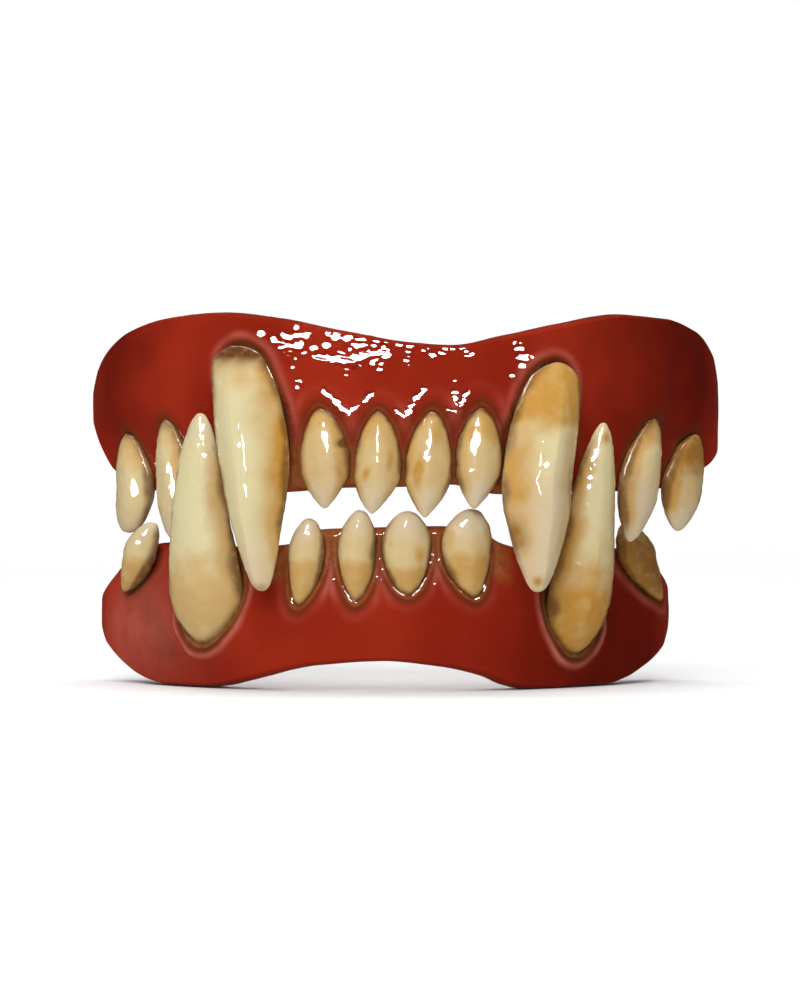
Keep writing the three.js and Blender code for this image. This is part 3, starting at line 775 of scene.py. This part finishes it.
def with_streaks(lift, body, places, normals, seed):
    """The lift with wet lines: strips of varnish whose faces turn up across the line."""
    covered = lift.copy()
    for row in rows_of(STREAKS, body):
        line = line_of(row, places)
        strip = np.flatnonzero(line.distance < STREAK_WIDEST * row.width)
        along, from_start = line.along[strip], line.from_start[strip]
        ragged = 1 + relief_at(places[strip], [STREAK_RAGGED], seed)
        away = np.minimum(line.distance[strip] / (row.width * ragged), 1)
        under = np.polyval(np.polyfit(along, lift[strip], STREAK_CURVE), along)
        level = np.hypot(normals[strip, 0], normals[strip, 1])
        lean = max(math.tan(STREAK_TILT) - np.mean(normals[strip, 2] / level), 0)
        upright = np.array([-line.way[1], line.way[0]]) * np.sign(line.way[0])
        slide = STREAK_SLIDE * np.sign(line.way[1])
        across = (lean - slide * line.way[1]) / upright[1]
        face = under + DROP_RISE * row.width - across * (from_start @ upright)
        face -= slide * (along - line.length / 2)
        covered[strip] += (face - covered[strip]) * (1 - away**WET_EDGE)
    return covered


def margins(teeth, all_away, uneven):
    """Lift round its teeth: a seam, a bead and a lip each, with shares of their colours, the seam's partly
    painted shade.
    """
    lift, seam, cement, lip = np.zeros((4, len(uneven)))
    second = np.sort(all_away, axis=0)[1]
    for tooth, away in zip(teeth, all_away):
        kind = tooth.kind
        near = np.where(away < MARGIN_REACH, 1, 0)
        outside = np.maximum(away, 0)
        dip = SOCKET_DEPTH * smoothstep(0, SOCKET_DEPTH, -away)
        hollow = bell(outside, kind.seam_width) * near
        from_lip = away - kind.lip_out - LIP_WANDER * uneven
        raised = bell(from_lip, kind.lip_width) * near * (1 + LIP_VARIES * uneven)
        if kind.bead:
            raised *= LIP_LEAST + (1 - LIP_LEAST) * bell(np.maximum(second - away, 0), PAPILLA_REACH)
        ring = bell(away - kind.bead_out, BEAD_WIDTH) * near
        lift += kind.lip * raised + kind.bead * ring - kind.seam * hollow - dip
        brown = bell(outside, LINE_SHARE * kind.seam_width) * near
        if kind.cement:
            edge = kind.bead_out + 2 * BEAD_WIDTH
            wash = np.where(away > edge, bell(away - edge, WASH_AND_SHADE_WIDTH), bell(away - edge, LINE_WIDTH))
            brown = np.maximum(brown, WASH_AND_SHADE_STRENGTH * wash * near)
            inside = 1 - smoothstep(edge - CEMENT_EDGE, edge + CEMENT_EDGE, away)
            cement = np.maximum(cement, kind.cement * inside)
        # Brown stain with painted shade round the tooth, with the brown line and wash
        seam = np.maximum(seam, np.maximum(brown, MARGIN_STAIN_AND_SHADE * bell(outside, kind.stain) * near))
        lip = np.maximum(lip, raised * kind.pink)
    # Brown stain with painted shade in the narrow gaps between two teeth
    seam = np.maximum(seam, NARROW_STAIN_AND_SHADE * bell(np.maximum(second, 0), NARROW_WIDTH))
    return lift, {"seam": seam, "cement": cement, "lip": lip}


def shade_at(body, places, uneven):
    """Painted shade towards a gum's ends, and painted shade in its furrows."""
    shade = np.zeros(len(places))
    x = places[:, 0] + SHADE_WANDER * uneven
    for row in rows_of(SHADES, body):
        shade = np.maximum(shade, row.strength * smoothstep(row.start, row.full, x))
    # Painted shade in the hollow of each furrow
    for fold in rows_of(FOLDS, body):
        shade = np.maximum(shade, FOLD_SHADE * furrow(fold, places))
    return shade


def web_cement(teeth, points, values):
    """Cement on the web between a row's small teeth."""
    small = [t for t in teeth if t.kind.bead > 0]
    reach = small[0].width / 2 + WEB_PAST
    start, end = small[0].x - reach, small[-1].x + reach
    zone = smoothstep(start - WEB_FADE, start, points[:, 0])
    zone *= 1 - smoothstep(end, end + WEB_FADE, points[:, 0])
    return WEB_CEMENT * zone * (1 - smoothstep(*WEB_ENDS, values["height"])) * values["web_side"]


def margined(gum, body, arch, teeth, trees, other_trees, seed):
    """The gum with its margins, lumps, furrows and wet places, and room for the other row's teeth."""
    points, faces, values = gum
    front = np.flatnonzero(values["face"] > 0)
    places, face = points[front], values["face"][front]
    normals = normals_of(points, faces)[front]
    uneven = relief_at(places, UNEVEN, seed + UNEVEN_SEED)
    all_away = np.array([distances(tree, box, places, MARGIN_REACH) for tree, box in trees])
    lift, shares = margins(teeth, all_away, uneven)
    for fold in rows_of(FOLDS, body):
        lift -= fold.depth * furrow(fold, places)
    lift += relief_at(places, GUM_RELIEF, seed)
    lift = with_droplets(lift * face, body, arch, places, normals, seed)
    lift = with_streaks(lift, body, places, normals, seed)
    for tree, box in other_trees:
        room = distances(tree, box, places, MARGIN_REACH) - CLEARANCE
        lift = np.minimum(lift, np.where(room < ROOM_REACH, room, lift))

    # Painted shade towards the gum's ends and in its furrows
    shares["shade"] = shade_at(body, places, uneven)
    for row in rows_of(BLUSHES, body):
        from_middle = np.hypot(places[:, 0] - row.x, places[:, 2] - row.z)
        shares["lip"] = np.maximum(shares["lip"], row.strength * bell(from_middle, row.spread))

    moved = points.copy()
    moved[front] += normals * lift[:, None]
    colours = {name: np.zeros(len(points)) for name in shares}
    for name, share in shares.items():
        colours[name][front] = np.clip(share * face, 0, 1)
    colours["cement"] = np.maximum(colours["cement"], web_cement(teeth, points, values))
    return Surface(moved, faces, {**colours, "crease": values["crease"]})


# Noise in the paint's borders, ragged and cloudy, and how far each border strays with the two
RAGGED = [Relief(1.6, 0.8), Relief(0.6, 0.25)]
CLOUDY = [Relief(3.0, 1.0)]
Stray = namedtuple("Stray", "ragged cloudy")
SIDE_STRAY = Stray(0.06, 0.20)
PATCH_STRAY = Stray(0.10, 0.20)
POINT_STRAY = Stray(0.04, 0.10)
FADE_STRAY = Stray(0.00, 0.10)
# The neck's border also strays with its softness, and so does a patch with its length
NECK_SOFT_STRAY, NECK_STRAY = 0.6, Stray(0.01, 0.05)
PATCH_LONG_STRAY = 0.3
# From where to where the sides' ochre and brown come in across the tooth and fade along it, the brown being
# stain and painted shade at the edges that turn from the light; how the wash ends after the pale point's
# start, and how that point comes in round it
SIDE_OCHRE = (0.3, 0.8)
SIDE_BROWN_AND_SHADE, SIDE_BROWN_AND_SHADE_STRENGTH = (0.78, 1.0), 0.75
SIDE_FADE = (0.75, 0.98)
WASH_END = 0.3
PALE_BEFORE, PALE_AFTER = 0.1, 0.2
# Brown and ochre where a tooth meets its gum, the brown partly painted shade under the gum's edge: strength,
# change with the noise, and the ochre's reach
MEET_BROWN_AND_SHADE, MEET_BROWN_AND_SHADE_VARIES = 0.85, 0.4
MEET_OCHRE, MEET_OCHRE_LEVEL, MEET_OCHRE_VARIES = 0.75, 0.9, 0.6
MEET_OCHRE_REACH = 0.9


def painted(tooth, surface, gum_tree, seed):
    """The tooth's paint: ochre, brown and pale shares at each point, the brown partly painted shade."""
    along, side = surface.values["along"], surface.values["side"]
    paint = PAINT[tooth.name]
    ragged = relief_at(surface.points, RAGGED, seed + RAGGED_SEED)
    cloudy = relief_at(surface.points, CLOUDY, seed + CLOUDY_SEED)

    def strayed(place, stray):
        return place + stray.ragged * ragged + stray.cloudy * cloudy

    border = strayed(along, NECK_STRAY) + NECK_SOFT_STRAY * paint.soft * ragged
    lean = strayed(side, SIDE_STRAY)
    fade = 1 - smoothstep(*SIDE_FADE, strayed(along, FADE_STRAY))
    ochre = paint.neck * (1 - smoothstep(paint.edge - paint.soft, paint.edge + paint.soft, border))
    ochre = np.maximum(ochre, paint.left * smoothstep(*SIDE_OCHRE, -lean) * fade)
    ochre = np.maximum(ochre, paint.right * smoothstep(*SIDE_OCHRE, lean) * fade)
    ochre = np.maximum(ochre, paint.wash * (1 - smoothstep(paint.pale, paint.pale + WASH_END, border)))
    # Brown stain with painted shade along both side edges
    brown = SIDE_BROWN_AND_SHADE_STRENGTH * smoothstep(*SIDE_BROWN_AND_SHADE, np.abs(lean)) * fade
    for patch in (p for p in PATCHES if p.tooth == tooth.name):
        across = strayed(side - patch.side, PATCH_STRAY)
        lengthwise = along - patch.along + PATCH_LONG_STRAY * patch.long * ragged
        spot = bell(across, patch.wide) * bell(lengthwise, patch.long)
        ochre = np.maximum(ochre, patch.ochre * spot)
        brown = np.maximum(brown, patch.brown * spot)
    tree, box = gum_tree
    outside = np.maximum(distances(tree, box, surface.points, MARGIN_REACH), 0)
    meet_ochre = MEET_OCHRE * bell(outside, MEET_OCHRE_REACH)
    # Brown stain with painted shade where the gum meets the tooth
    meet_brown_and_shade = bell(outside, tooth.kind.stain)
    ochre = np.maximum(ochre, meet_ochre * (MEET_OCHRE_LEVEL + MEET_OCHRE_VARIES * cloudy))
    brown = np.maximum(brown, meet_brown_and_shade * (MEET_BROWN_AND_SHADE + MEET_BROWN_AND_SHADE_VARIES * ragged))
    to_point = strayed(along, POINT_STRAY)
    pale = smoothstep(paint.pale - PALE_BEFORE, paint.pale + PALE_AFTER, to_point) * (1 - ochre)
    clipped = {"ochre": ochre, "brown": brown, "pale": pale}
    return Surface(surface.points, surface.faces, {k: np.clip(v, 0, 1) for k, v in clipped.items()})


def add_piece(name, surface, material, body):
    """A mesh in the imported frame's metres, which stands for the CAD node of its name."""
    mesh = bpy.data.meshes.new(name + "_looks")
    places = (surface.points - ORIGIN) * MM
    mesh.from_pydata(places.tolist(), [], [f for part in surface.faces for f in part.tolist()])
    for key, numbers in surface.values.items():
        layer = mesh.attributes.new(key, "FLOAT", "POINT")
        layer.data.foreach_set("value", numbers.astype(np.float32))
    mesh.shade_smooth()
    if "crease" in surface.values:
        ends = np.zeros(2 * len(mesh.edges), int)
        mesh.edges.foreach_get("vertices", ends)
        sharp = mesh.attributes.new("sharp_edge", "BOOLEAN", "EDGE")
        sharp.data.foreach_set("value", (surface.values["crease"][ends.reshape(-1, 2)] > 0).all(axis=1))
    mesh.materials.append(material)
    piece = bpy.data.objects.new(name + "_looks", mesh)
    bpy.context.scene.collection.objects.link(piece)
    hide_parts(name)
    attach(piece, body)
    return piece


class Shader:
    """Short ways to add nodes to one material."""

    def __init__(self, name):
        self.material = bpy.data.materials.new(name)
        self.material.use_nodes = True
        self.nodes = self.material.node_tree.nodes
        self.links = self.material.node_tree.links
        self.surface = self.nodes["Principled BSDF"]
        self.place = self.nodes.new("ShaderNodeTexCoord").outputs["Object"]

    def set(self, **values):
        for socket, value in values.items():
            self.surface.inputs[socket.replace("_", " ")].default_value = value

    def attribute(self, name):
        node = self.nodes.new("ShaderNodeAttribute")
        node.attribute_name = name
        return node.outputs["Fac"]

    def cloud(self, size, detail=2.0):
        node = self.nodes.new("ShaderNodeTexNoise")
        node.inputs["Scale"].default_value = 1 / (size * MM)
        node.inputs["Detail"].default_value = detail
        self.links.new(self.place, node.inputs["Vector"])
        return node.outputs["Fac"]

    def ranged(self, value, low, high, start=0.0, end=1.0):
        node = self.nodes.new("ShaderNodeMapRange")
        node.interpolation_type = "SMOOTHSTEP"
        self.links.new(value, node.inputs["Value"])
        for socket, number in zip(("From Min", "From Max", "To Min", "To Max"), (low, high, start, end)):
            node.inputs[socket].default_value = number
        return node.outputs["Result"]

    def product(self, first, second):
        node = self.nodes.new("ShaderNodeMath")
        node.operation = "MULTIPLY"
        self.links.new(first, node.inputs[0])
        self.links.new(second, node.inputs[1])
        return node.outputs["Value"]

    def mix(self, share, first, second):
        """From the first colour to the second, each a socket or a fixed colour."""
        node = self.nodes.new("ShaderNodeMix")
        node.data_type = "RGBA"
        self.links.new(share, node.inputs["Factor"])
        for socket, colour in ((node.inputs[6], first), (node.inputs[7], second)):
            if isinstance(colour, tuple):
                socket.default_value = colour
            else:
                self.links.new(colour, socket)
        return node.outputs[2]

    def bump(self, height, strength, distance):
        node = self.nodes.new("ShaderNodeBump")
        node.inputs["Strength"].default_value = strength
        node.inputs["Distance"].default_value = distance * MM
        self.links.new(height, node.inputs["Height"])
        self.links.new(node.outputs["Normal"], self.surface.inputs["Normal"])

    def link(self, socket, value):
        self.links.new(value, self.surface.inputs[socket])


def gum_material():
    """Brick-red acrylic under wet varnish, pinker on the lips, with cement and brown stain in the margins.

    Painted shade darkens the ends and furrows, and the brown round and between the teeth is partly painted
    shade.
    """
    s = Shader("gum_varnish")
    colour = s.mix(s.ranged(s.cloud(9, 1), 0.35, 0.75), GUM_RED, GUM_DEEP)
    # Painted shade towards the gum's ends and in its furrows
    colour = s.mix(s.attribute("shade"), colour, GUM_SHADE)
    pink = s.product(s.attribute("lip"), s.ranged(s.cloud(2.2), 0.2, 0.6, 0.6, 1))
    colour = s.mix(pink, colour, GUM_PINK)
    tan = s.mix(s.ranged(s.cloud(0.8), 0.40, 0.70, 0, 0.5), GUM_CEMENT, GUM_BROWN)
    colour = s.mix(s.attribute("cement"), colour, tan)
    # Brown of stain, dark joints and painted shade in the margins and between the teeth
    brown = s.product(s.attribute("seam"), s.ranged(s.cloud(0.9), 0.2, 0.5, 0.7, 1))
    colour = s.mix(brown, colour, GUM_BROWN)
    s.link("Base Color", colour)
    s.link("Roughness", s.ranged(s.cloud(2.5), 0.3, 0.7, 0.28, 0.42))
    s.bump(s.cloud(0.5), 0.10, 0.05)
    s.set(Subsurface_Weight=0.12, Subsurface_Radius=(1.0, 0.3, 0.2), Subsurface_Scale=MM)
    s.set(Specular_IOR_Level=0.0, Coat_Weight=0.8, Coat_Roughness=0.02, IOR=1.49)
    return s.material


def tooth_material():
    """Ivory acrylic with ochre and brown paint, a pale point, and a clear gloss.

    The brown is partly painted shade at the teeth's side edges and where the gum meets them.
    """
    s = Shader("tooth_enamel")
    ochre = s.product(s.attribute("ochre"), s.ranged(s.cloud(1.6), 0.2, 0.6, 0.75, 1))
    colour = s.mix(s.attribute("pale"), TOOTH_IVORY, TOOTH_PALE)
    colour = s.mix(ochre, colour, TOOTH_OCHRE)
    # Brown stain, partly painted shade at the sides and at the gum
    brown = s.product(s.attribute("brown"), s.ranged(s.cloud(0.8), 0.2, 0.55, 0.7, 1))
    colour = s.mix(brown, colour, TOOTH_BROWN)
    s.link("Base Color", colour)
    s.link("Roughness", s.ranged(s.cloud(2.0), 0.3, 0.7, 0.26, 0.42))
    s.bump(s.cloud(0.45), 0.12, 0.04)
    s.set(Subsurface_Weight=0.2, Subsurface_Radius=(1.0, 0.7, 0.4), Subsurface_Scale=MM)
    s.set(Specular_IOR_Level=0.05, Coat_Weight=0.7, Coat_Roughness=0.06, IOR=1.49)
    return s.material


def build_teeth():
    """Pieces of both rows: the gums with their margins, and the painted teeth."""
    rows = {
        "upper": (UPPER_ARCH, UPPER_EDGES, UPPER_TEETH, True),
        "lower": (LOWER_ARCH, LOWER_EDGES, LOWER_TEETH, False),
    }
    gum_look, tooth_look = gum_material(), tooth_material()
    surfaces, trees, pieces = {}, {}, {}
    for body, (arch, _, teeth, _) in rows.items():
        surfaces[body] = [tooth_surface(arch, t, seed) for seed, t in enumerate(teeth)]
        trees[body] = [tree_of(surface) for surface in surfaces[body]]
    for seed, (body, (arch, edges, teeth, rim_up)) in enumerate(rows.items()):
        other = trees["lower" if body == "upper" else "upper"]
        plain = gum_surface(arch, edges, teeth, rim_up)
        gum = margined(plain, body, arch, teeth, trees[body], other, GUM_SEED + seed)
        pieces[body + "_gum"] = add_piece(body + "_gum", gum, gum_look, body)
        gum_tree = tree_of(gum)
        for k, (tooth, surface) in enumerate(zip(teeth, surfaces[body])):
            look = painted(tooth, surface, gum_tree, k)
            pieces[tooth.name] = add_piece(tooth.name, look, tooth_look, body)
    return pieces


def add_camera():
    data = bpy.data.cameras.new("photo_camera")
    data.sensor_width = SENSOR
    data.lens = FOCAL_PIXELS / IMAGE_HEIGHT * SENSOR
    data.clip_start = 0.01
    camera = bpy.data.objects.new("photo_camera", data)
    camera.location = (EYE - ORIGIN) * MM
    camera.rotation_euler = (math.pi / 2, 0, 0)
    bpy.context.scene.collection.objects.link(camera)
    bpy.context.scene.camera = camera


# The stage in metres: a floor from its front to where it bends up, and a backdrop to its top
STAGE_FRONT, STAGE_BEND, STAGE_TOP = -1.2, 0.45, 1.6
BEND_RADIUS, BEND_STEPS = 0.35, 16
STAGE_HALF_WIDTH = 1.8
PAPER, PAPER_PALE = (0.86, 0.86, 0.86, 1), (0.88, 0.88, 0.88, 1)


def add_stage():
    """A pale floor that sweeps up into a backdrop."""
    profile = [(STAGE_FRONT, 0.0), (STAGE_BEND, 0.0)]
    for turn in np.linspace(0, np.pi / 2, BEND_STEPS + 1)[1:]:
        profile.append((STAGE_BEND + BEND_RADIUS * math.sin(turn), BEND_RADIUS * (1 - math.cos(turn))))
    profile.append((STAGE_BEND + BEND_RADIUS, STAGE_TOP))
    points = [(side * STAGE_HALF_WIDTH, y, z) for y, z in profile for side in (-1, 1)]
    faces = [(k, k + 1, k + 3, k + 2) for k in range(0, len(points) - 2, 2)]
    mesh = bpy.data.meshes.new("floor")
    mesh.from_pydata(points, [], faces)
    mesh.shade_smooth()
    s = Shader("floor_paper")
    s.link("Base Color", s.mix(s.cloud(60), PAPER, PAPER_PALE))
    s.set(Roughness=0.9)
    mesh.materials.append(s.material)
    floor = bpy.data.objects.new("floor", mesh)
    bpy.context.scene.collection.objects.link(floor)
    floor.visible_glossy = False


# Soft boxes: where each stands and what it faces, in metres, its size, its power in watts, and which pieces
# it glints in. Those with no such pieces light the colours.
Light = namedtuple("Light", "name place faces width height power glints_in")
BITE = (0, 0, 0.02)
BACKDROP = (0, 0.70, 0.15)
UPPER_INCISORS, LOWER_INCISORS, LEFT_TEETH = (
    [t.name for t in UPPER_TEETH + LOWER_TEETH if t.name.startswith(start)]
    for start in ("upper_incisor", "lower_incisor", ("upper_premolar_left", "lower_premolar_left"))
)
BROAD_GLOSS = UPPER_INCISORS + ["lower_fang_left", "lower_fang_right"]
THIN_GLOSS = ["upper_fang_left", "upper_fang_right"]
LIGHTS = [
    Light("key", (-0.13, -0.48, 0.40), BITE, 0.60, 0.20, 2.8, []),
    Light("front", (-0.10, -0.80, 0.20), BITE, 0.30, 0.30, 1.1, []),
    Light("backdrop", (0.0, 0.20, 0.75), BACKDROP, 1.2, 0.30, 5.0, []),
    Light("floor_wash", (0.0, -0.15, 0.95), BITE, 1.0, 0.7, 4.0, []),
    Light("broad_strip", (-0.08, -0.68, 0.27), BITE, 0.20, 0.42, 28.0, BROAD_GLOSS),
    Light("thin_strip", (-0.08, -0.68, 0.20), BITE, 0.03, 0.24, 2.2, THIN_GLOSS),
    Light("tip_glint", (-0.08, -0.50, 0.50), BITE, 0.18, 0.18, 8.5, LOWER_INCISORS),
    Light("left_glint", (-0.50, -0.30, 0.03), BITE, 0.22, 0.22, 16.0, LEFT_TEETH),
]
# A row of lights round the front for the drops of varnish, by their turns from straight ahead
Wet = namedtuple("Wet", "gum turns size power")
WET_LIGHTS = [
    Wet("upper_gum", (-84, -66, -46, -26, -6, 14, 34, 54), 0.27, 23.0),
    Wet("lower_gum", (-24, 2, 30), 0.11, 3.8),
    Wet("lower_gum", (62,), 0.18, 10.0),
]
WET_DISTANCE, WET_HEIGHT = 0.55, 0.52
WORLD_COLOUR, WORLD_STRENGTH = (0.9, 0.93, 1, 1), 0.03


def wet_lights():
    """The rows of lights for the drops, as soft boxes."""
    lights = []
    for row in WET_LIGHTS:
        for turn in row.turns:
            ahead = math.radians(turn)
            place = (WET_DISTANCE * math.sin(ahead), -WET_DISTANCE * math.cos(ahead), WET_HEIGHT)
            name = f"{row.gum}_{turn}"
            lights.append(Light(name, place, BITE, row.size, row.size, row.power, [row.gum]))
    return lights


def add_lights(pieces):
    for row in LIGHTS + wet_lights():
        data = bpy.data.lights.new(row.name, "AREA")
        data.shape = "ELLIPSE"
        data.size, data.size_y = row.width, row.height
        data.energy = row.power
        lamp = bpy.data.objects.new(row.name, data)
        lamp.location = row.place
        lamp.visible_diffuse, lamp.visible_glossy = not row.glints_in, bool(row.glints_in)
        if row.glints_in:
            lit = bpy.data.collections.new(row.name + "_glints_in")
            for name in row.glints_in:
                lit.objects.link(pieces[name])
            lamp.light_linking.receiver_collection = lit
        aim = Vector(row.faces) - Vector(row.place)
        lamp.rotation_euler = aim.to_track_quat("-Z", "Y").to_euler()
        bpy.context.scene.collection.objects.link(lamp)
    world = bpy.data.worlds.new("studio")
    bpy.context.scene.world = world
    world.use_nodes = True
    background = world.node_tree.nodes["Background"]
    background.inputs["Color"].default_value = WORLD_COLOUR
    background.inputs["Strength"].default_value = WORLD_STRENGTH
    bpy.context.scene.view_settings.view_transform = "Standard"


pieces = build_teeth()
add_camera()
add_stage()
add_lights(pieces)
